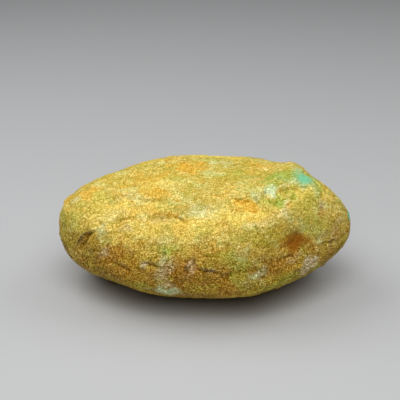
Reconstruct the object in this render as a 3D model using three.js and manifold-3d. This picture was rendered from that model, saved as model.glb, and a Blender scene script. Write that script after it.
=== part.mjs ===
// A raw jadeite boulder: one river-worn stone, lens-shaped in plan, with a gently domed top, worn flats
// round its sides, a raised shoulder near its right end, and the hollows, pits and gashes of its skin.
// Millimetres, +Z up, +X to the stone's right end, -Y to its front. The origin lies on the surface that
// the stone rests on, under the middle of its outline.
import * as THREE from "three";
import { ImprovedNoise } from "three/addons/math/ImprovedNoise.js";
import { mergeVertices } from "three/addons/utils/BufferGeometryUtils.js";
import Module from "manifold-3d";

// Driving dimensions. The heart is the point that every form is laid out from.
const HEART_HEIGHT = 37.5;
const HALF_LENGTH = 97;
const HALF_DEPTH = 66;
const HALF_HEIGHT = 48;
const EDGE_SHARPNESS = 16; // how crisply two worn flats meet: 2 is a plain ellipsoid, 40 nearly a crystal

// Uneven wear, as layers of noise: the size of its swells along the stone and across it, and their height.
const WEAR = [
  { along: 44, across: 26, height: 1.1 },
  { along: 17, across: 9, height: 0.45 },
];

// The longest mesh edge on plain skin, the shortest in a small pit, and its share of a pit's half-width.
const SKIN_EDGE = 6.6;
const DETAIL_EDGE = 1.7;
const EDGE_PER_REACH = 0.75;

const HEART = new THREE.Vector3(0, 0, HEART_HEIGHT);
const HALF_SIZE = new THREE.Vector3(HALF_LENGTH, HALF_DEPTH, HALF_HEIGHT);

// A direction as a bearing from +X towards +Y and a rise above the horizon, in degrees.
function direction(bearing, rise) {
  const turn = THREE.MathUtils.degToRad(bearing);
  const lift = THREE.MathUtils.degToRad(rise);
  return new THREE.Vector3(
    Math.cos(lift) * Math.cos(turn),
    Math.cos(lift) * Math.sin(turn),
    Math.sin(lift),
  );
}

// The worn flats: which way each one faces, and how far its plane is from the heart.
const WORN_FLATS = [
  { name: "top", bearing: -90, rise: 85, distance: 37.2 },
  { name: "top back", bearing: 92, rise: 64, distance: 44.5 },
  { name: "top left", bearing: 132, rise: 57, distance: 51.5 },
  { name: "top right back", bearing: 62, rise: 70, distance: 46 },
  { name: "upper left", bearing: 150, rise: 46, distance: 65 },
  { name: "left end high", bearing: 172, rise: 28, distance: 91 },
  { name: "left end", bearing: 186, rise: 0, distance: 88.3 },
  { name: "front slope", bearing: -100, rise: 64, distance: 38.5 },
  { name: "front brow", bearing: -102, rise: 42, distance: 43.5 },
  { name: "front", bearing: -92, rise: -3, distance: 52.5 },
  { name: "front right", bearing: -58, rise: 16, distance: 58 },
  { name: "front left", bearing: -119, rise: -4, distance: 61.5 },
  { name: "right shoulder", bearing: 32, rise: 46, distance: 62.8 },
  { name: "right end", bearing: 2, rise: 11, distance: 89 },
  { name: "under right", bearing: -25, rise: -38, distance: 67 },
  { name: "under front right", bearing: -50, rise: -56, distance: 47.5 },
  { name: "under front", bearing: -90, rise: -63, distance: 40.7 },
  { name: "under front left", bearing: -123, rise: -58, distance: 47 },
  { name: "under left", bearing: -156, rise: -40, distance: 72 },
  { name: "back", bearing: 88, rise: 8, distance: 53 },
  { name: "back right", bearing: 48, rise: -4, distance: 68 },
  { name: "back left", bearing: 134, rise: 4, distance: 70 },
  { name: "under back", bearing: 90, rise: -50, distance: 46 },
  { name: "belly", bearing: 0, rise: -90, distance: 38.6 },
].map((flat) => ({ ...flat, normal: direction(flat.bearing, flat.rise) }));

// Local forms on the skin. Each has a place, the direction of its long axis, its half-length and
// half-width, and its height, which is negative for a hollow. "wall" makes its sides steeper and its floor
// flatter, and "lip" narrows it on the side to the left of its long axis, which leaves a crisp edge there.
const FORMS = [
  { name: "valley behind the shoulder", at: [36, 2, 73], run: [0.7, 0.7, 0], reach: [16, 6], height: -1.9 },
  { name: "shoulder crest", at: [49.5, 6, 71], run: [0.4, 0.9, 0], reach: [14, 8.5], height: 5 },
  { name: "spur of the shoulder", at: [41, -15, 71], run: [0.9, 0.45, 0], reach: [13, 4.5], height: 1.5 },
  { name: "crease under the spur", at: [37, -28, 67], run: [0.15, -1, -0.4], reach: [8, 3], height: -1.0 },
  { name: "swell on the brow", at: [46, -33, 63], run: [1, 0.3, 0], reach: [13, 8], height: 1.6 },
  {
    name: "spall on the top", at: [-17, -35, 60.5], run: [-1, 0.2, 0.1], reach: [9.5, 6],
    height: -1.9, wall: 1.5, lip: 0.45,
  },
  { name: "orange hollow", at: [23, -29, 67], run: [1, 0.25, 0], reach: [6.5, 4], height: -1.2 },
  {
    name: "left gash", at: [-68, -29.5, 45], run: [0.5, -0.2, 0.85], reach: [6.5, 2.6],
    height: -2.4, lip: 0.6,
  },
  {
    name: "knob by the left gash", at: [-62, -34, 46], run: [0.5, -0.2, 0.85], reach: [5, 3.2],
    height: 0.9,
  },
  {
    name: "right pit", at: [49.6, -36.5, 48], run: [0.8, 0.5, 0.2], reach: [6.6, 5.4],
    height: -1.6, wall: 1.5,
  },
  {
    name: "front gash", at: [-28.6, -46.6, 38.9], run: [1, 0.1, -0.25], reach: [5, 2.4],
    height: -1.3, lip: 0.6,
  },
  { name: "front pit", at: [-7, -49, 40], run: [0.2, 0, 1], reach: [4.2, 2.6], height: -1.2 },
  { name: "ringed pit", at: [32.8, -48.7, 33.4], run: [1, 0.2, 0.3], reach: [3.4, 2.8], height: -1.2 },
  {
    name: "hollow under the left end", at: [-52, -32, 17], run: [0.8, -0.6, -0.3], reach: [14, 8],
    height: -1.8,
  },
  {
    name: "ledge on the back", at: [-14, 52, 44], run: [1, 0, 0.25], reach: [26, 6],
    height: 1.8, lip: 0.4,
  },
  {
    name: "hollow on the back", at: [30, 50, 33], run: [0.9, -0.2, 0.4], reach: [15, 9],
    height: -2.4, wall: 1.3,
  },
  { name: "back pit", at: [-48, 41, 50], run: [1, 0.6, 0.3], reach: [4.5, 3.2], height: -1.4 },
  {
    name: "scar on the right end", at: [82, 14, 38], run: [0, 0.6, 1], reach: [9, 5],
    height: -1.5, wall: 1.5, lip: 0.5,
  },
  { name: "dent in the left end", at: [-84, 8, 40], run: [0.1, 1, 0.4], reach: [10, 7], height: -1.6 },
];

const noise = new ImprovedNoise();

// A form's own axes: along it, across it to the left, and out of the skin.
function layOut(form) {
  const at = new THREE.Vector3(...form.at);
  const out = wornMeasure(at.clone().sub(HEART)).normal;
  const along = new THREE.Vector3(...form.run).projectOnPlane(out).normalize();
  const across = new THREE.Vector3().crossVectors(out, along);
  return { wall: 1, lip: 1, ...form, at, along, across };
}

// How far out a point lies, as a share of the distance to the worn stone's surface, with the outward
// normal there. It is the p-norm of the ellipsoid's measure and each flat's, so the flats meet in round
// edges. The point is given from the heart.
function wornMeasure(point) {
  const ellipsoid = point.clone().divide(HALF_SIZE).length();
  const normal = point.clone().divide(HALF_SIZE).divide(HALF_SIZE);
  normal.multiplyScalar(ellipsoid ** (EDGE_SHARPNESS - 2));
  let sum = ellipsoid ** EDGE_SHARPNESS;
  for (const flat of WORN_FLATS) {
    const share = Math.max(0, flat.normal.dot(point) / flat.distance);
    sum += share ** EDGE_SHARPNESS;
    normal.addScaledVector(flat.normal, share ** (EDGE_SHARPNESS - 1) / flat.distance);
  }
  return { share: sum ** (1 / EDGE_SHARPNESS), normal: normal.normalize() };
}

// How far a skin point is from a form's middle, in half-lengths and half-widths: 1 is its rim.
function formDistance(form, place) {
  const offset = place.clone().sub(form.at);
  const along = offset.dot(form.along) / form.reach[0];
  const across = offset.dot(form.across) / form.reach[1];
  const deep = offset.lengthSq() - offset.dot(form.along) ** 2 - offset.dot(form.across) ** 2;
  const narrowed = across > 0 ? across / form.lip : across;
  return Math.sqrt(along ** 2 + narrowed ** 2 + deep / form.reach[0] ** 2);
}

const forms = FORMS.map(layOut);

// The skin point that belongs to a point of the unit sphere.
function skinPoint(unit) {
  const place = unit.clone().multiply(HALF_SIZE);
  const { share, normal } = wornMeasure(place);
  place.divideScalar(share).add(HEART);
  let rise = 0;
  for (const { along, across, height } of WEAR) {
    rise += height * noise.noise(place.x / along, place.y / across, place.z / across);
  }
  for (const form of forms) {
    rise += form.height * Math.exp(-(formDistance(form, place) ** (2 * form.wall)));
  }
  return place.addScaledVector(normal, rise);
}

// The longest edge that the mesh may have at a place.
function edgeWanted(place) {
  const near = forms.filter((form) => formDistance(form, place) < 1.25);
  const finest = Math.min(...near.map((form) => EDGE_PER_REACH * form.reach[1] * form.lip), SKIN_EDGE);
  return Math.max(finest, DETAIL_EDGE);
}

// One triangle, given with its longest edge first, cut through that edge's middle to the far corner, and
// again at the middles of its other edges. A middle is undefined on an edge that stays whole.
function split([a, b, c], [ab, bc, ca]) {
  if (ab === undefined) return [[a, b, c]];
  const first = ca === undefined ? [[a, ab, c]] : [[a, ab, ca], [ca, ab, c]];
  const second = bc === undefined ? [[ab, b, c]] : [[ab, b, bc], [ab, bc, c]];
  return [...first, ...second];
}

// The stone's skin: a coarse sphere whose edges are halved where they are longer than wanted, until none
// is. A triangle with a halved edge has its longest edge halved too, which keeps the triangles plump.
function skin() {
  const seed = new THREE.IcosahedronGeometry(1, 3);
  seed.deleteAttribute("normal");
  seed.deleteAttribute("uv");
  const sphere = mergeVertices(seed, 1e-4);
  const corners = [];
  const addCorner = (unit) => corners.push({ unit, place: skinPoint(unit) }) - 1;
  const places = sphere.getAttribute("position");
  for (let i = 0; i < places.count; i++) {
    addCorner(new THREE.Vector3().fromBufferAttribute(places, i).normalize());
  }

  const edge = (from, to) => {
    const [a, b] = [from, to].sort((one, other) => one - other);
    return { a, b, key: `${a} ${b}`, length: corners[a].place.distanceTo(corners[b].place) };
  };
  const firstLength = ([a, b]) => edge(a, b).length;
  const longestFirst = ([a, b, c]) => {
    const turns = [[a, b, c], [b, c, a], [c, a, b]];
    return turns.reduce((best, turn) => (firstLength(turn) > firstLength(best) ? turn : best));
  };
  const tooLong = ({ a, b, length }) => {
    const between = corners[a].place.clone().lerp(corners[b].place, 0.5);
    return length > edgeWanted(between);
  };

  let triangles = [];
  for (let i = 0; i < sphere.index.count; i += 3) {
    triangles.push(longestFirst([...sphere.index.array.slice(i, i + 3)]));
  }
  for (;;) {
    const edgesOf = ([a, b, c]) => [edge(a, b), edge(b, c), edge(c, a)];
    const sides = triangles.map(edgesOf);
    const halved = new Set(sides.flat().filter(tooLong).map(({ key }) => key));
    if (halved.size === 0) break;
    for (let before = 0; before !== halved.size; ) {
      before = halved.size;
      for (const [longest, ...others] of sides) {
        if (others.some(({ key }) => halved.has(key))) halved.add(longest.key);
      }
    }
    const middles = new Map();
    for (const { a, b, key } of sides.flat()) {
      if (!halved.has(key) || middles.has(key)) continue;
      middles.set(key, addCorner(corners[a].unit.clone().add(corners[b].unit).normalize()));
    }
    const middlesOf = (edges) => edges.map(({ key }) => middles.get(key));
    triangles = triangles.flatMap((triangle, i) => split(triangle, middlesOf(sides[i]))).map(longestFirst);
  }
  return { vertices: corners.flatMap(({ place }) => place.toArray()), triangles: triangles.flat() };
}

const wasm = await Module();
wasm.setup();

function solidOf(vertices, triangles) {
  return new wasm.Manifold(
    new wasm.Mesh({
      numProp: 3,
      vertProperties: new Float32Array(vertices),
      triVerts: new Uint32Array(triangles),
    }),
  );
}

// Everything below the surface that the stone rests on, to cut the resting face with.
function ground() {
  const block = new THREE.BoxGeometry(4 * HALF_LENGTH, 4 * HALF_DEPTH, HALF_HEIGHT);
  block.translate(0, 0, -HALF_HEIGHT / 2);
  block.deleteAttribute("normal");
  block.deleteAttribute("uv");
  const closed = mergeVertices(block);
  return solidOf(closed.getAttribute("position").array, closed.index.array);
}

function boulder() {
  const { vertices, triangles } = skin();
  const stone = solidOf(vertices, triangles).subtract(ground()).getMesh();
  const geometry = new THREE.BufferGeometry();
  geometry.setAttribute("position", new THREE.BufferAttribute(stone.vertProperties, 3));
  geometry.setIndex(new THREE.BufferAttribute(stone.triVerts, 1));
  geometry.computeBoundingBox();
  const middle = geometry.boundingBox.getCenter(new THREE.Vector3());
  geometry.translate(-middle.x, -middle.y, 0);
  geometry.computeVertexNormals();
  const weatheredJadeite = new THREE.MeshStandardMaterial({ color: 0xb8953f, roughness: 0.55, metalness: 0 });
  const mesh = new THREE.Mesh(geometry, weatheredJadeite);
  mesh.name = "jadeite_boulder";
  return mesh;
}

const part = new THREE.Group();
part.add(boulder());
export default part;
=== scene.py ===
"""The looks of the raw jadeite boulder: its skin in fine relief, its weathered colours, a pale floor, five
softboxes and the camera. Lengths are in millimetres, in the part's own frame, and become metres where
Blender takes them."""
import math
from types import SimpleNamespace

import bpy
import numpy as np
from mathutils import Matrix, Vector, noise


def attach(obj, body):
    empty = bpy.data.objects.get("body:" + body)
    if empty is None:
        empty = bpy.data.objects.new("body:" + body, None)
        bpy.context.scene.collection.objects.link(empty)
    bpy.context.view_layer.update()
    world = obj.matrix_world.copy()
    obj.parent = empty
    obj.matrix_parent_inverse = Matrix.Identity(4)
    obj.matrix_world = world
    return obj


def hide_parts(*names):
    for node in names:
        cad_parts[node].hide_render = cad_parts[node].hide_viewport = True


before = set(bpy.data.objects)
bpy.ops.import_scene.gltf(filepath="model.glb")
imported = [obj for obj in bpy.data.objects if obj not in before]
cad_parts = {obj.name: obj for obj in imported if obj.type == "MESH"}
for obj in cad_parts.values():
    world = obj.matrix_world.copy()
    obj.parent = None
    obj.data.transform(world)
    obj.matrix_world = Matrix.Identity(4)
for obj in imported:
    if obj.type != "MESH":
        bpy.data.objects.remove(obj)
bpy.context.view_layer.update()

MM = 0.001
SEED = 7


# ---------------------------------------------------------------- shader nodes

class Nodes:
    """Adds shader nodes to one new material. Each call returns the socket that the next one takes."""

    def __init__(self, name):
        self.material = bpy.data.materials.new(name)
        self.material.use_nodes = True
        self.tree = self.material.node_tree
        self.shader = self.tree.nodes["Principled BSDF"]

    def add(self, kind, inputs, output=0, **settings):
        node = self.tree.nodes.new(kind)
        for key, value in settings.items():
            setattr(node, key, value)
        for key, value in inputs.items():
            if isinstance(value, bpy.types.NodeSocket):
                self.tree.links.new(value, node.inputs[key])
            elif value is not None:
                node.inputs[key].default_value = value
        return node.outputs[output]

    def noise(self, place, size, detail=2, roughness=0.5, output=0):
        """Noise with swells about size millimetres wide, from about 0.25 to 0.75."""
        return self.add(
            "ShaderNodeTexNoise",
            {"Vector": place, "Scale": 1 / (size * MM), "Detail": detail, "Roughness": roughness},
            output,
        )

    def cells(self, place, size):
        """Crystals about size millimetres wide, each with a value of its own from 0 to 1."""
        cells = self.add("ShaderNodeTexVoronoi", {"Vector": place, "Scale": 1 / (size * MM)}, "Color")
        return self.add("ShaderNodeSeparateColor", {"Color": cells})

    def steps(self, value, low, high, bottom=0.0, top=1.0):
        """Smoothly from bottom at low to top at high."""
        return self.add(
            "ShaderNodeMapRange",
            {"Value": value, "From Min": low, "From Max": high, "To Min": bottom, "To Max": top},
            interpolation_type="SMOOTHSTEP",
        )

    def mask(self, name):
        """One of the numbers that the mesh keeps at its points."""
        return self.add("ShaderNodeAttribute", {}, 2, attribute_name=name)

    def math(self, operation, a, b=None, c=None):
        return self.add("ShaderNodeMath", {0: a, 1: b, 2: c}, operation=operation)

    def vector(self, operation, a, b=None, scale=None):
        return self.add("ShaderNodeVectorMath", {0: a, 1: b, "Scale": scale}, operation=operation)

    def mix(self, share, a, b):
        return self.add("ShaderNodeMix", {0: share, 6: a, 7: b}, 2, data_type="RGBA")


# ---------------------------------------------------------------- camera, light and floor

CAMERA_RISE = 27.0  # degrees above the horizon
CAMERA_DISTANCE = 560.0
LENS = 85.0  # on a sensor 36 mm wide
NEAREST = 10.0  # how near and how far the camera sees
FARTHEST = 20000.0
HEART = Vector((0.25, -2.05, 37.5))  # the middle of the stone, from which the camera stands off
LOOK_AT = Vector((-3.0, 5.5, 52.3))  # what the middle of the picture shows, a little above the heart


def aim(obj, place, target):
    """Puts a camera or light at a place and turns it to a target."""
    obj.location = place * MM
    obj.rotation_euler = (target - place).to_track_quat("-Z", "Y").to_euler()


def add_camera():
    rise = math.radians(CAMERA_RISE)
    camera = bpy.data.objects.new("camera", bpy.data.cameras.new("camera"))
    bpy.context.collection.objects.link(camera)
    camera.data.lens = LENS
    camera.data.clip_start = NEAREST * MM
    camera.data.clip_end = FARTHEST * MM
    aim(camera, HEART + Vector((0, -math.cos(rise), math.sin(rise))) * CAMERA_DISTANCE, LOOK_AT)
    bpy.context.scene.camera = camera


def add_softbox(name, place, target, size, power):
    light = bpy.data.objects.new(name, bpy.data.lights.new(name, "AREA"))
    bpy.context.collection.objects.link(light)
    light.data.shape = "DISK"
    light.data.size = size * MM
    light.data.energy = power
    aim(light, Vector(place), Vector(target))


FLOOR_SIZE = 24000.0  # so that its edge is far off in every view
FLOOR_COLOUR = (0.47, 0.475, 0.48, 1)
GLOW_START = 760.0  # how far from the stone the softboxes' light on the floor begins to run out
GLOW_FULL = 1600.0  # and how far the floor's own faint glow has made up for it
GLOW = 0.32  # how strong that glow is
GLOW_COLOUR = (0.98, 0.99, 1, 1)


def add_floor():
    half = FLOOR_SIZE / 2 * MM
    mesh = bpy.data.meshes.new("floor")
    corners = [(-half, -half, 0), (half, -half, 0), (half, half, 0), (-half, half, 0)]
    mesh.from_pydata(corners, [], [(0, 1, 2, 3)])
    floor = bpy.data.objects.new("floor", mesh)
    bpy.context.collection.objects.link(floor)
    paper = Nodes("pale_paper")
    paper.shader.inputs["Base Color"].default_value = FLOOR_COLOUR
    paper.shader.inputs["Roughness"].default_value = 0.8
    paper.shader.inputs["Emission Color"].default_value = GLOW_COLOUR
    place = paper.add("ShaderNodeTexCoord", {}, "Object")
    distance = paper.add("ShaderNodeVectorMath", {0: place}, "Value", operation="LENGTH")
    glow = paper.steps(distance, GLOW_START * MM, GLOW_FULL * MM, 0, GLOW)
    paper.tree.links.new(glow, paper.shader.inputs["Emission Strength"])
    mesh.materials.append(paper.material)


AIR_LIGHT = 0.017  # the faint even light from all round
AIR_COLOUR = (0.9, 0.95, 1, 1)


def add_air():
    """Light from all round. Past the floor's edge the camera sees it as pale as the floor there."""
    world = bpy.data.worlds.new("studio")
    world.use_nodes = True
    nodes = world.node_tree.nodes
    links = world.node_tree.links
    nodes["Background"].inputs["Color"].default_value = AIR_COLOUR
    seen = nodes.new("ShaderNodeLightPath").outputs["Is Camera Ray"]
    strength = nodes.new("ShaderNodeMapRange")
    strength.inputs["To Min"].default_value = AIR_LIGHT
    strength.inputs["To Max"].default_value = GLOW
    links.new(seen, strength.inputs["Value"])
    links.new(strength.outputs["Result"], nodes["Background"].inputs["Strength"])
    bpy.context.scene.world = world


# The studio: a wide softbox overhead and four smaller ones round the stone, the one behind the camera the
# strongest. Each has its place, its width and its power.
SOFTBOXES = [
    ("overhead_softbox", (-100, 100, 900), 1900, 4.5),
    ("camera_softbox", (0, -600, 750), 800, 4.8),
    ("front_softbox", (0, -250, 700), 400, 0.7),
    ("left_softbox", (-480, 120, 700), 650, 2.6),
    ("right_softbox", (600, 100, 700), 700, 2.1),
]

add_camera()
for name, place, width, power in SOFTBOXES:
    add_softbox(name, place, (0, 0, 30), width, power)
add_floor()
add_air()
bpy.context.scene.view_settings.view_transform = "Standard"


# ---------------------------------------------------------------- noise on points, in numpy

def gradient_noise(points, seed):
    """Smooth noise from about -1 to 1, with swells about one unit wide."""
    rng = np.random.default_rng(seed)
    table = rng.permutation(256)
    arrows = rng.normal(size=(256, 3))
    arrows /= np.linalg.norm(arrows, axis=1)[:, None]
    cell = np.floor(points).astype(np.int64)
    inside = points - cell
    fade = inside**3 * (inside * (inside * 6 - 15) + 10)
    total = np.zeros(len(points))
    for corner in np.ndindex(2, 2, 2):
        x, y, z = (cell + corner).T & 255
        arrow = arrows[table[(table[(table[x] + y) & 255] + z) & 255]]
        weight = np.prod(np.where(corner, fade, 1 - fade), axis=1)
        total += weight * np.einsum("ij,ij->i", arrow, inside - corner)
    return total * 1.6


def layered_noise(points, size, seed, layers=3, fading=0.5):
    """Layers of noise on points in millimetres, each half the size of the last and that much fainter."""
    total = 0
    for layer in range(layers):
        shifted = points * 2**layer / size + 31.7 * layer  # so that the layers don't line up
        total = total + gradient_noise(shifted, seed + layer) * fading**layer
    return total


def wandering(points, size, seed):
    """Three noises as a direction, to move points by so that what is drawn on them gets ragged."""
    return np.stack([layered_noise(points, size, seed + 10 * axis, 3, 0.6) for axis in range(3)], axis=1)


def ramp(values, low, high):
    """Smoothly from 0 at low to 1 at high."""
    share = np.clip((values - low) / (high - low), 0, 1)
    return share * share * (3 - 2 * share)


# ---------------------------------------------------------------- the stone's mesh

GRID = 0.82  # the side of the even grid that the skin is remeshed to
AXIS_HEIGHT = 37.0  # of the level line along the stone that places on its skin turn round
DEGREE = 0.75  # about how many millimetres of skin one degree of turn is
SMOOTHING = 16  # rounds that take the CAD solid's facets away

# Crisp small forms, and a few broad low ones, on the CAD solid's softer ones: how far along the stone and
# how many degrees round it (0 on top, 90 in front), the lean of the long axis from the stone's length,
# half-length, half-width, and height, negative for a cut. Each is steepest to the left of its long axis.
CUTS = [
    ("left gash", -69, 77, 62, 5.5, 1.9, -1.9),
    ("left gash, upper end", -65, 69, 25, 4.5, 1.6, -1.4),
    ("knob by the left gash", -64, 79, 52, 4.5, 2.0, 0.9),
    ("spall, left half", -25, 54, -6, 7, 3.0, -1.2),
    ("spall, right half", -15, 56, -28, 6, 2.6, -1.1),
    ("flake above the spall", -31, 38, -8, 9, 2.6, -0.7),
    ("flake on the left slope", -50, 37, 20, 8, 2.4, -0.6),
    ("flake on the left brow", -45, 56, 12, 9, 3.0, -0.6),
    ("flake on the brow", 2, 62, 5, 10, 3.0, -0.6),
    ("step over the orange hollow", 20, 41, -18, 5, 2.4, -1.0),
    ("step right of the orange hollow", 29, 43, -70, 4, 1.8, -0.9),
    ("pit in the orange hollow", 27, 47, 60, 3, 1.8, -1.1),
    ("step under the orange hollow", 22, 52, 170, 7, 2.4, -0.9),
    ("notch beside the mint patch", 34, 41, 110, 5, 1.8, -0.9),
    ("furrow behind the mint patch", 38, 22, 28, 9, 2.4, -0.6),
    ("crease left of the mint patch", 32, 36, 60, 5, 1.6, -0.9),
    ("crease under the knob", 48, 30, 20, 9, 2.4, -1.1),
    ("fold under the knob, left", 39, 42, 75, 5, 1.6, -0.9),
    ("fold under the knob, right", 48, 38, 70, 6, 1.6, -0.9),
    ("groove right of the knob", 66, 24, -70, 11, 2.4, -1.0),
    ("lump in the orange hollow", 24, 46, 20, 4, 3.4, 0.8),
    ("lump left of the orange hollow", 15, 49, 10, 5, 3.4, 0.6),
    ("lump under the mint patch", 33, 46, -30, 5, 3.4, 0.8),
    ("lump under the orange hollow", 27, 54, 0, 8, 3.0, 0.6),
    ("lump on the left slope", -48, 47, 20, 7, 4.0, 0.6),
    ("lump left of the spall", -38, 51, -20, 6, 4.0, 0.6),
    ("right pit, upper edge", 50, 70, 6, 4.5, 2.4, -0.35),
    ("right pit, floor", 50, 75, 8, 5.2, 5.0, -0.5),
    ("chip under the right pit", 44, 85, 4, 5, 1.8, -1.0),
    ("scar right of the pit", 62, 72, -60, 6, 2.0, -0.7),
    ("front gash", -28, 88, -14, 4.5, 1.4, -1.6),
    ("ringed knob", -33, 88, 0, 2.4, 2.0, 0.7),
    ("front pit", -6, 85, 84, 3.4, 1.3, -1.5),
    ("nick beside the front pit", -9, 88, 60, 3, 1.2, -1.2),
    ("lump beside the front pit", -3, 86, 80, 3.5, 1.8, 0.7),
    ("edge of the pale column", -17, 95, 80, 9, 1.8, -0.5),
    ("front chip", 1, 90, -8, 5, 1.5, -1.4),
    ("front ledge", 12, 92, 20, 8, 3.0, -1.1),
    ("ringed pit", 33, 96, 8, 2.2, 1.8, -1.3),
    ("chip on the right end", 70, 82, 8, 5, 2.2, -0.9),
    ("ledge on the lower left", -48, 92, -20, 9, 3.0, -1.1),
    ("gash on the back", -30, -72, 160, 8, 1.9, -1.3),
    ("chip on the back", 18, -79, 175, 7, 2.4, -1.0),
    ("pit on the back", 52, -85, 160, 5, 4.0, -1.3),
    ("ledge on the back", -8, -62, 170, 14, 4.0, -0.9),
    ("broad scallop on the back", -22, -55, 168, 24, 8, -1.7),
    ("broad scallop low on the back", 26, -96, 15, 20, 8, -1.6),
    ("rib on the back", 34, -58, 35, 18, 5, 1.0),
    ("long ledge on the top", -30, -12, 186, 22, 5, -1.0),
    ("scallop on the left end", -78, -40, 80, 14, 6, -1.4),
    ("rib on the left end", -80, 10, 70, 12, 4, 1.0),
    ("scallop on the right end", 76, -50, 100, 14, 6, -1.5),
    ("chip on the lower right end", 74, 120, 40, 9, 4, -1.2),
    ("scallop underneath", -30, 150, 20, 18, 7, -1.4),
    ("ledge underneath", 34, 160, -25, 16, 5, -1.3),
    ("scar on the upper left", -55, -22, 37, 8, 2.2, -0.9),
    ("flake on the upper back", 20, -30, 190, 10, 3.0, -0.7),
]


def even_skin(node):
    """The CAD node's mesh as a new object: an even closed grid, its facets smoothed away."""
    coarse = bpy.data.objects.new("coarse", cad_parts[node].data.copy())
    bpy.context.collection.objects.link(coarse)
    remesh = coarse.modifiers.new("even grid", "REMESH")
    remesh.mode = "VOXEL"
    remesh.voxel_size = GRID * MM
    smooth = coarse.modifiers.new("no facets", "SMOOTH")
    smooth.factor = 0.5
    smooth.iterations = SMOOTHING
    done = bpy.data.meshes.new_from_object(coarse.evaluated_get(bpy.context.evaluated_depsgraph_get()))
    bpy.data.objects.remove(coarse)
    done.name = "jadeite_skin"
    done.materials.clear()
    skin = bpy.data.objects.new("jadeite_skin", done)
    bpy.context.collection.objects.link(skin)
    return skin


def numbers(items, name, width):
    """One property of a mesh's points, edges or faces, as a row of width numbers for each."""
    found = np.empty(len(items) * width, np.float32)
    items.foreach_get(name, found)
    return found.reshape(-1, width).astype(np.float64)


def spot_on(points, normals, x, turn, lean=0):
    """The skin's point at x along the stone and turn degrees round it, and the directions along and to the
    left of a form that leans there."""
    turns = np.degrees(np.arctan2(-points[:, 1], points[:, 2] - AXIS_HEIGHT))
    off = (turns - turn + 180) % 360 - 180
    index = np.argmin((points[:, 0] - x) ** 2 + (off * DEGREE) ** 2)
    normal = normals[index]
    east = np.array([1, 0, 0]) - normal * normal[0]
    east /= np.linalg.norm(east)
    lean = math.radians(lean)
    along = math.cos(lean) * east + math.sin(lean) * np.cross(normal, east)
    return points[index], normal, along, np.cross(normal, along)


STEEP = 3.5  # how many times narrower a cut's steep side is


def cut_depth(points, spot, length, width, height):
    """One of the CUTS, as millimetres of rise at each point."""
    centre, normal, run, side = spot
    offset = points - centre
    along = offset @ run / length
    across = offset @ side / width
    across = np.where(across > 0, across * STEEP, across)
    out = offset @ normal / (2 * width + 3)  # so that it leaves the stone's far side alone
    return height * np.exp(-(along**4) - across**2 - out**4)


def terraces(swells, steps, crispness):
    """Turns smooth swells into low flakes: each rises gently and ends in a small scarp."""
    level = swells * steps
    share = level - np.floor(level)
    return (ramp(share, crispness, 1) - share) / steps


def crumbs(points, size):
    """Rounded crumbs about size millimetres wide, some higher than others, with sharp creases between."""
    cells = [noise.voronoi(point) for point in points / size]
    distances = np.array([distance[:2] for distance, centres in cells])
    centres = np.array([tuple(centres[0]) for distance, centres in cells])
    inside = ramp(distances[:, 1] - distances[:, 0], 0, 0.5)
    return inside - 0.7 + 0.5 * gradient_noise(centres * 3.7, SEED + 45)


# The kinds of relief all over the skin, by how wide they are and how far they rise, in millimetres.
SWELL_WIDTH = 10
SWELL_RISE = 0.34
FLAKE_WIDTH = 15
FLAKE_RISE = 1.5
CRUMB_WIDTH = 3.6
CRUMB_RISE = 0.13
ROUGH_CRUMB_RISE = 0.30  # this much more where the skin is rough
PORE_WIDTH = 3.4
PORE_RISE = -0.40
GRAIN_WIDTH = 1.9
GRAIN_RISE = 0.11


def relief(points, normals):
    """How far each point of the skin rises, in millimetres, in its broad forms and in its fine ones."""
    loose = points + wandering(points, 13, SEED + 100) * 2.2
    less_loose = loose * 0.55 + points * 0.45
    streaky = loose * np.array([0.6, 1, 1])  # flakes and wrinkles run along the stone
    broad = SWELL_RISE * layered_noise(loose, SWELL_WIDTH, SEED + 20, 2)
    for name, x, turn, lean, length, width, height in CUTS:
        spot = spot_on(points, normals, x, turn, lean)
        broad = broad + cut_depth(less_loose, spot, length, width, height)
    flakes = FLAKE_RISE * terraces(layered_noise(streaky, FLAKE_WIDTH, SEED + 30, 3), 3, 0.72)
    rough = ramp(layered_noise(points, 26, SEED + 35, 2), -0.35, 0.35)
    crumbled = crumbs(streaky + wandering(points, 4, SEED + 40) * 1.1, CRUMB_WIDTH)
    crumbled = (CRUMB_RISE + ROUGH_CRUMB_RISE * rough) * crumbled
    pores = PORE_RISE * ramp(layered_noise(points, PORE_WIDTH, SEED + 50, 1), 0.42, 0.75)
    grain = GRAIN_RISE * layered_noise(points, GRAIN_WIDTH, SEED + 60, 2, 0.8)
    return broad, flakes + crumbled + pores + grain


HOLLOW_CONTRAST = 1.4  # how much the hollow mask changes with each millimetre


def give_relief(skin):
    """Moves the skin's points out along their normals, and keeps how hollow each place is as a mask: 0.5
    where the skin is even, more in creases and less on edges."""
    mesh = skin.data
    points = numbers(mesh.vertices, "co", 3) / MM
    normals = numbers(mesh.vertex_normals, "vector", 3)
    broad, fine = relief(points, normals)
    rise = broad + fine
    moved = points + normals * rise[:, None]
    moved[:, 2] = np.maximum(moved[:, 2], 0)  # nothing goes into the ground
    mesh.vertices.foreach_set("co", (moved * MM).astype(np.float32).ravel())
    mesh.update()
    mesh.shade_smooth()
    hollow = 0.5 + HOLLOW_CONTRAST * (neighbourly(mesh, rise) - rise)
    add_mask(mesh, "hollow", np.clip(hollow, 0, 1))
    return points, normals


def neighbourly(mesh, values, rounds=7):
    """The values at the mesh's points, evened out over about 2 mm."""
    one, other = numbers(mesh.edges, "vertices", 2).astype(np.int64).T
    size = len(values)
    count = np.bincount(one, minlength=size) + np.bincount(other, minlength=size)
    for _ in range(rounds):
        total = np.bincount(one, values[other], size) + np.bincount(other, values[one], size)
        values = (values + total / count) / 2
    return values


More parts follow.
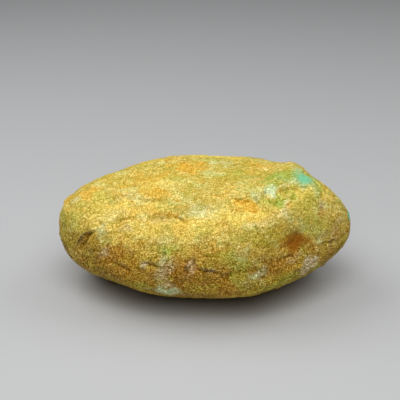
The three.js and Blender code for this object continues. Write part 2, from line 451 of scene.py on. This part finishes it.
def add_mask(mesh, name, values):
    mask = mesh.attributes.new(name, "FLOAT", "POINT")
    mask.data.foreach_set("value", values.astype(np.float32))


# ---------------------------------------------------------------- the patches of colour

# Colours of the weathered skin, as the share of red, green and blue light that it throws back.
HONEY = (0.58, 0.415, 0.071, 1)
STRAW = (0.88, 0.75, 0.27, 1)
OLIVE_GOLD = (0.44, 0.365, 0.048, 1)
BRASS = (0.455, 0.315, 0.016, 1)
BROWN = (0.31, 0.165, 0.007, 1)
AMBER = (0.69, 0.38, 0.030, 1)
OCHRE = (0.40, 0.190, 0.007, 1)
RUST = (0.27, 0.088, 0.002, 1)
OLIVE = (0.38, 0.365, 0.026, 1)
MOSS = (0.29, 0.38, 0.045, 1)
GOLDEN = (0.83, 0.615, 0.120, 1)
LIME = (0.63, 0.62, 0.22, 1)
MINT = (0.60, 0.68, 0.36, 1)
TEAL = (0.185, 0.57, 0.33, 1)
MILK = (0.80, 0.73, 0.36, 1)
LILAC = (0.55, 0.44, 0.232, 1)
UMBER = (0.11, 0.06, 0.010, 1)

EYE = 2.2  # light to the power 1 / EYE is about how bright the eye finds it

# Each patch has its place along and round the stone, the lean of its long axis, its half-length, its
# half-width and its strength. They are laid over each other in this order.
# Some golden and olive patches are partly painted light and shade, lightening or darkening broad stretches.
PATCHES = {
    "golden": (GOLDEN, [
        (-54, 50, 0, 20, 9, 0.6),
        (-25, 47, 0, 10, 5, 0.5),
        (-30, 58, -5, 16, 8, 0.6),
        (-5, 60, 0, 18, 8, 0.6),
        (22, 55, 5, 18, 7, 0.7),
        (54, 33, 0, 8, 6, 0.7),
        (55, 48, 0, 8, 6, 0.6),
        (-42, 66, 0, 11, 8, 0.6),
        (-74, 100, 0, 8, 6, 0.4),
        (70, 50, 60, 9, 6, 0.4),
        (66, 30, 0, 8, 7, 0.5),
        (-25, 22, 0, 14, 6, 0.5),
        (-64, 30, 0, 10, 7, 0.5),
        (10, -36, 0, 24, 10, 0.6),
        (-40, -30, 0, 16, 8, 0.5),
    ]),
    "amber": (AMBER, [
        (-67, 24, 0, 8, 6, 0.6),
        (-11, -8, 0, 12, 8, 0.7),
        (-27, 31, 0, 8, 4, 0.6),
        (-42, 52, -15, 8, 4, 0.4),
        (20, 43, 15, 6, 4.5, 0.75),
        (25, 48, -25, 5, 4.0, 0.8),
        (27, 47, 0, 3, 2.5, 0.7),
        (14, 37, 10, 9, 4, 0.4),
        (30, -14, 0, 8, 6, 0.5),
        (51, 29, 0, 5, 4, 0.5),
        (30, 58, 5, 12, 4, 0.45),
        (-14, 62, 0, 9, 4, 0.4),
        (66, 18, 0, 6, 6, 0.4),
        (-21, 53, -12, 12, 1.8, 0.6),
        (-40, -22, 0, 10, 7, 0.5),
        (8, -57, 0, 14, 9, 0.6),
    ]),
    "ochre": (OCHRE, [
        (-52, 84, 10, 12, 7, 0.8),
        (-40, 97, 0, 16, 8, 0.65),
        (-12, 94, 0, 9, 10, 0.9),
        (-68, 75, 56, 6, 2.4, 0.6),
        (-62, 78, 50, 5.5, 4, 0.8),
        (-23, 58, -10, 8, 3.5, 0.35),
        (6, 85, -10, 14, 7, 0.5),
        (12, 98, 0, 10, 7, 0.8),
        (44, 86, 40, 12, 9, 0.6),
        (51, 80, 0, 13, 10, 0.6),
        (36, 71, 0, 9, 6, 0.6),
        (47, 93, 0, 8, 7, 0.5),
        (7, 81, 0, 17, 7, 0.65),
        (33, 96, 0, 3, 3, 0.9),
        (67, 45, 60, 9, 5, 0.5),
        (76, 66, 70, 9, 5, 0.5),
        (-30, -89, 0, 16, 10, 0.6),
        (40, -103, 0, 14, 9, 0.6),
        (-80, -140, 0, 8, 8, 0.6),
    ]),
    "rust": (RUST, [
        (50, 75, 8, 7.5, 6.5, 0.8),
        (-60, 97, 0, 5, 4, 0.4),
        (52, -85, 160, 6, 4.5, 0.9),
        (-28, -74, 160, 7, 2.2, 0.7),
    ]),
    "olive": (OLIVE, [
        (-77, 50, 0, 8, 9, 0.45),
        (10, -22, 0, 22, 8, 0.5),
        (-42, -16, 0, 18, 8, 0.4),
        (52, 40, 0, 16, 8, 0.5),
        (14, 6, 0, 16, 7, 0.5),
        (-17, 15, 0, 8, 4, 0.5),
        (-57, 35, 10, 11, 8, 0.4),
        (45, 5, 0, 9, 6, 0.6),
        (12, 82, 0, 14, 6, 0.5),
        (28, 99, 0, 9, 6, 0.5),
        (-62, 77, 50, 5.5, 4, 0.4),
        (56, 50, 0, 10, 6, 0.35),
        (62, 60, 0, 10, 6, 0.55),
        (36, 70, 0, 14, 6, 0.5),
        (-20, 77, 0, 7, 4, 0.6),
        (20, 94, 0, 8, 9, 0.6),
        (42, 106, 0, 16, 5, 0.65),
        (61, 108, 0, 10, 5, 0.6),
        (-36, 106, 0, 12, 5, 0.6),
        (-15, -61, 0, 14, 9, 0.5),
        (62, -38, 0, 11, 9, 0.6),
    ]),
    "moss": (MOSS, [
        (44, 16, 15, 12, 9, 0.75),
        (38, 26, 25, 8, 4, 0.6),
        (43, 41, 0, 7, 5, 0.75),
        (50, 33, 60, 9, 5, 0.5),
        (55, 48, 0, 12, 6, 0.25),
        (64, 28, 80, 7, 4, 0.5),
        (60, 2, 0, 8, 7, 0.6),
        (60, 14, 0, 10, 11, 0.6),
        (27, 36, 0, 5, 4, 0.4),
        (-21, 80, 0, 5, 4, 0.5),
        (18, 84, 0, 9, 5, 0.4),
        (-80, 60, 90, 9, 6, 0.35),
        (30, -46, 0, 10, 8, 0.5),
    ]),
    "mint": (MINT, [
        (36, 33, -60, 4.4, 3.4, 1.2),
        (30, 41, 20, 4, 2.5, 0.5),
        (28, 36, 10, 4, 3, 0.55),
        (10, -13, 0, 8, 5, 0.45),
        (5, 4, 0, 9, 4, 0.3),
        (-4, 50, 0, 10, 5, 0.45),
        (-40, 36, 0, 8, 4, 0.35),
        (-58, 68, 60, 6, 4, 0.45),
        (22, 80, 30, 7, 5, 0.3),
        (30, 92, 20, 7, 4, 0.45),
        (-22, 108, 0, 8, 6, 0.85),
        (-23, 85, 90, 7, 4, 0.35),
        (-24, 98, 90, 8, 4, 0.25),
        (50, 18, 0, 8, 5, 0.45),
        (56, 16, 0, 9, 12, 0.4),
        (65, 75, 60, 8, 5, 0.3),
        (-10, -78, 0, 9, 5, 0.4),
        (70, -68, 60, 8, 5, 0.35),
    ]),
    "teal": (TEAL, [
        (56, 12, 0, 6.5, 7, 0.85),
        (84, 25, 90, 6, 3, 0.8),
        (14, -68, 10, 7, 4, 0.6),
    ]),
    "milk": (MILK, [
        (46, 46, 30, 6, 4, 0.44),
        (42, 53, 25, 7, 4, 0.48),
        (46, 26, 25, 8, 2, 0.4),
        (-1, 52, 10, 10, 5, 0.32),
        (36, -8, 0, 5, 4, 0.4),
        (30, 60, 12, 12, 2.5, 0.36),
        (28, 99, 0, 8, 5, 0.25),
        (-5, -18, 0, 40, 5, 0.2),
        (-20, 22, 0, 8, 4, 0.28),
        (-52, 53, 0, 11, 4, 0.32),
        (-33, 57, -70, 6, 4, 0.32),
        (-22, 71, 0, 8, 4, 0.24),
        (-45, -63, 0, 9, 5, 0.32),
    ]),
    "lilac": (LILAC, [
        (68, 40, 0, 3, 2.5, 0.7),
        (-45, 65, 0, 4, 3.5, 0.5),
        (76, 62, 80, 6, 3, 0.3),
        (73, 76, 80, 7, 4, 0.35),
        (58, 100, 15, 7, 4.5, 0.95),
        (-57, 85, 60, 4, 3, 0.48),
        (-33, 88, 0, 3, 2.5, 0.64),
        (-20, 92, 90, 12, 5, 0.5),
        (-8, 88, 80, 6, 2.5, 0.48),
        (3, 90, 0, 4, 2, 0.4),
        (-25, 57, -8, 7, 3.5, 0.35),
        (-74, 33, 0, 3, 2.5, 0.56),
        (50, 88, 10, 8, 2.5, 0.36),
        (-58, -92, 0, 8, 5, 0.4),
        (2, -93, 0, 9, 4, 0.32),
    ]),
    "umber": (UMBER, [
        (-70, 77, 62, 5.0, 1.3, 0.7),
        (-66, 69, 25, 4.0, 1.1, 0.6),
        (-24, 52, -4, 6, 0.9, 0.35),
        (-14, 55, -30, 5, 0.8, 0.4),
        (-28, 87, -14, 4, 1.2, 0.5),
        (-6, 83, 84, 3, 1.0, 0.4),
        (-9, 88, 60, 3, 1.0, 0.4),
        (-10, 88, 70, 4, 0.9, 0.6),
        (1, 89, -8, 5, 1.1, 0.7),
        (10, 91, 25, 4, 1.0, 0.4),
        (-46, 90, -30, 6, 1.0, 0.3),
        (-62, 76, 50, 4, 2.2, 0.34),
        (-11, 95, 60, 6, 4, 0.38),
        (44, 84, 8, 4, 1.0, 0.3),
    ]),
}


STRAY = 0.8  # how far a patch's ragged outline strays, as a share of its half-width
FIRM_STRAY = 0.3  # the same for the kinds that keep to their own places
FIRM = ("rust", "umber", "teal")


def mark_patches(skin, points, normals):
    """Gives the skin one mask for each kind of patch, with ragged outlines."""
    ragged = wandering(points, 8, SEED + 200)
    for name, (tint, patches) in PATCHES.items():
        mask = np.zeros(len(points))
        stray = FIRM_STRAY if name in FIRM else STRAY
        for x, turn, lean, length, width, strength in patches:
            centre, normal, along, across = spot_on(points, normals, x, turn, lean)
            offset = points + ragged * stray * width - centre
            side = (offset @ across) ** 2 + (offset @ normal) ** 2
            reach = np.sqrt((offset @ along / length) ** 2 + side / width**2)
            mask = np.maximum(mask, strength * ramp(reach, 1.6, 0.3))
        add_mask(skin.data, name, mask)


# ---------------------------------------------------------------- the weathered skin's material

def shared_noises(n):
    """The places and noises that several parts of the material take, and how far each spot is above the
    ground, from 0 on the lower half to 1 on the upper."""
    place = n.add("ShaderNodeTexCoord", {}, "Object")
    wander = n.vector("SUBTRACT", n.noise(place, 6, 3, 0.65, output=1), (0.5, 0.5, 0.5))
    loose = n.vector("ADD", place, n.vector("SCALE", wander, scale=8 * MM))
    streaky = n.vector("MULTIPLY", loose, (0.6, 1, 1))  # the colours run along the stone too
    level = n.vector("MULTIPLY", place, (0.7, 1, 1))
    height = n.add("ShaderNodeSeparateXYZ", {"Vector": loose}, "Z")
    height = n.math("MULTIPLY_ADD", n.noise(place, 12, 2), 16 * MM, height)
    return SimpleNamespace(
        place=place,
        loose=loose,
        streaky=streaky,
        level=level,
        middle=n.noise(streaky, 9, 3, 0.6),
        small=n.noise(streaky, 3.4, 3, 0.7),
        grit=n.noise(level, 1.0, 2, 0.7),
        fine=n.noise(place, 0.5, 1, 0.7),
        above=n.steps(height, 42 * MM, 68 * MM),
    )


def golden_and_brown(n, shared):
    """The skin's own colours: golden above, and brown below, where the stone lay in the ground."""
    broad = n.noise(shared.loose, 24, 2)
    warm = n.noise(n.vector("ADD", shared.streaky, (0.3, 0, 0)), 6, 3, 0.6)
    cool = n.noise(n.vector("ADD", shared.streaky, (0, 0.3, 0)), 7, 3, 0.6)
    upper = n.mix(n.steps(shared.middle, 0.38, 0.60), OLIVE_GOLD, HONEY)
    upper = n.mix(n.steps(broad, 0.50, 0.66, 0, 0.35), upper, AMBER)
    upper = n.mix(n.steps(warm, 0.50, 0.66, 0, 0.45), upper, AMBER)
    upper = n.mix(n.steps(cool, 0.50, 0.66, 0, 0.55), upper, LIME)
    lower = n.mix(n.steps(shared.middle, 0.40, 0.62), BROWN, BRASS)
    lower = n.mix(n.steps(warm, 0.50, 0.64, 0, 0.5), lower, OCHRE)
    lower = n.mix(n.steps(cool, 0.52, 0.66, 0, 0.4), lower, OLIVE)
    colour = n.mix(shared.above, lower, upper)
    pale = n.steps(shared.small, 0.50, 0.72, 0, 0.6)
    pale = n.math("MULTIPLY", pale, n.math("MULTIPLY_ADD", shared.above, 0.7, 0.1))
    return n.mix(pale, colour, STRAW)


def patched(n, shared, colour):
    """The colour with the patches over it, each of which ends in scattered grains."""
    scatter = n.math("MULTIPLY_ADD", n.math("ADD", shared.grit, shared.small), 0.5, -0.5)
    for name, (tint, patches) in PATCHES.items():
        mask = n.mask(name)
        edge = n.math("MULTIPLY_ADD", scatter, n.steps(mask, 0.0, 0.25), mask)
        colour = n.mix(n.steps(edge, 0.05, 1.0), colour, tint)
    return colour


def light_and_dark(n, shared):
    """How much lighter or darker than its colour each spot looks, from grains, crystals and pale flecks,
    wear on the ridges, grime and painted shade in the hollows, thin veins, dark specks, and pale specks
    with painted glints."""
    crystals = n.math("MULTIPLY", n.cells(shared.place, 0.95), 0.10)
    grain = n.math("MULTIPLY_ADD", n.steps(shared.fine, 0.42, 0.58), 0.78, crystals)
    grain = n.math("MULTIPLY_ADD", n.cells(shared.level, 2.0), 0.10, grain)
    grain = n.math("MULTIPLY", grain, n.steps(shared.grit, 0.42, 0.36, 1, 0.7))
    grain = n.math("ADD", grain, n.steps(shared.grit, 0.60, 0.66, 0, 0.3))
    shade = n.math("MULTIPLY_ADD", grain, 0.47, -0.25)

    flecks = n.steps(n.noise(shared.level, 1.6, 2, 0.7), 0.58, 0.68, 0, 0.10)
    hollow = n.mask("hollow")
    wear = n.steps(hollow, 0.46, 0.26, 0, 0.07)
    # Darker in the hollows: grime, and painted shade where the creases would lie in shadow.
    dirt_and_shade = n.steps(hollow, 0.54, 0.86, 0, -0.12)
    veins = n.noise(n.vector("ADD", shared.streaky, (0, 0, 0.3)), 4.0, 3, 0.7)
    veins = n.steps(n.math("ABSOLUTE", n.math("SUBTRACT", veins, 0.5)), 0.018, 0.006)
    veins = n.math("MULTIPLY", veins, n.steps(shared.middle, 0.46, 0.56, 0, -0.15))
    specks = n.noise(n.vector("ADD", shared.place, (0.3, 0.3, 0)), 0.85, 1, 0.6)
    dark_specks = n.steps(specks, 0.35, 0.31, 0, -0.24)
    # Pale specks, partly painted glints of light caught by tiny crystals.
    pale_specks_and_glints = n.steps(specks, 0.65, 0.69, 0, 0.24)
    for part in (flecks, wear, dirt_and_shade, veins, dark_specks, pale_specks_and_glints):
        shade = n.math("ADD", shade, part)

    # They stand out more on the rough lower half, and hardly in the rust and teal.
    shade = n.math("MULTIPLY", shade, n.math("MULTIPLY_ADD", shared.above, -0.32, 1.0))
    smooth = n.math("MAXIMUM", n.mask("rust"), n.mask("teal"))
    return n.math("MULTIPLY", shade, n.steps(smooth, 0.2, 0.8, 1, 0.3))


def shaded(n, colour, shade):
    """The colour made lighter or darker as the eye sees it, with its hue kept."""
    colour = n.add("ShaderNodeGamma", {"Color": colour, "Gamma": 1 / EYE})
    colour = n.vector("MAXIMUM", n.vector("ADD", colour, shade), (0.02, 0.02, 0.02))
    return n.add("ShaderNodeGamma", {"Color": colour, "Gamma": EYE})


def weathered_jadeite():
    n = Nodes("weathered_jadeite")
    shared = shared_noises(n)
    colour = patched(n, shared, golden_and_brown(n, shared))
    colour = shaded(n, colour, light_and_dark(n, shared))
    n.tree.links.new(colour, n.shader.inputs["Base Color"])
    n.tree.links.new(n.steps(shared.fine, 0.3, 0.7, 0.68, 0.42), n.shader.inputs["Roughness"])
    n.shader.inputs["Specular IOR Level"].default_value = 0.08
    facets = n.add("ShaderNodeTexVoronoi", {"Vector": shared.place, "Scale": 1 / (1.3 * MM)}, "Distance")
    bumps = n.math("MULTIPLY_ADD", facets, -0.6, n.noise(shared.place, 1.0, 2, 0.7))
    bump = n.add("ShaderNodeBump", {"Strength": 1.0, "Distance": 0.3 * MM, "Height": bumps})
    n.tree.links.new(bump, n.shader.inputs["Normal"])
    return n.material


# ---------------------------------------------------------------- the skin's map, for textures

MAP_MARGIN = 4.0  # between the charts


def lay_out_map(skin, points):
    """Six flat charts, one for each way the skin faces, side by side on one square. points are the skin's
    places before its relief, in millimetres."""
    mesh = skin.data
    low, high = points.min(axis=0), points.max(axis=0)
    middle, half = (low + high) / 2, (high - low) / 2
    corners = np.empty(len(mesh.loops), np.int64)
    mesh.loops.foreach_get("vertex_index", corners)
    counts = numbers(mesh.polygons, "loop_total", 1)[:, 0].astype(np.int64)
    face_of_corner = np.repeat(np.arange(len(counts)), counts)
    centres = np.zeros((len(counts), 3))
    np.add.at(centres, face_of_corner, points[corners])
    centres /= counts[:, None]
    facing = (centres - middle) / half**2
    facing /= np.linalg.norm(facing, axis=1)[:, None]
    axis = np.abs(facing).argmax(axis=1)
    side = np.take_along_axis(facing, axis[:, None], axis=1)[:, 0] > 0

    length, depth, tall = high - low
    charts = {  # the axis it faces, the axes that run across it and up it, and where it starts
        2: (0, 1, (0, 0), (length + MAP_MARGIN, 0)),
        1: (0, 2, (0, depth + MAP_MARGIN), (length + MAP_MARGIN, depth + MAP_MARGIN)),
        0: (1, 2, (0, depth + tall + 2 * MAP_MARGIN), (length + MAP_MARGIN, depth + tall + 2 * MAP_MARGIN)),
    }
    square = 2 * length + 3 * MAP_MARGIN
    places = np.zeros((len(corners), 2))
    for facing_axis, (across, up, start_low, start_high) in charts.items():
        for positive, start in ((False, start_low), (True, start_high)):
            chosen = ((axis == facing_axis) & (side == positive))[face_of_corner]
            flat = points[corners[chosen]][:, [across, up]] - low[[across, up]]
            mirrored = positive == (facing_axis == 1)
            if mirrored:
                flat[:, 0] = (high - low)[across] - flat[:, 0]
            places[chosen] = (flat + start + MAP_MARGIN / 2) / square
    layer = mesh.uv_layers.new(name="OFBake")
    layer.data.foreach_set("uv", places.astype(np.float32).ravel())


stone = even_skin("jadeite_boulder")
skin_points, skin_normals = give_relief(stone)
mark_patches(stone, skin_points, skin_normals)
lay_out_map(stone, skin_points)
stone.data.materials.append(weathered_jadeite())
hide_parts("jadeite_boulder")
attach(stone, "root")
print("stone triangles:", sum(len(p.vertices) - 2 for p in stone.data.polygons))
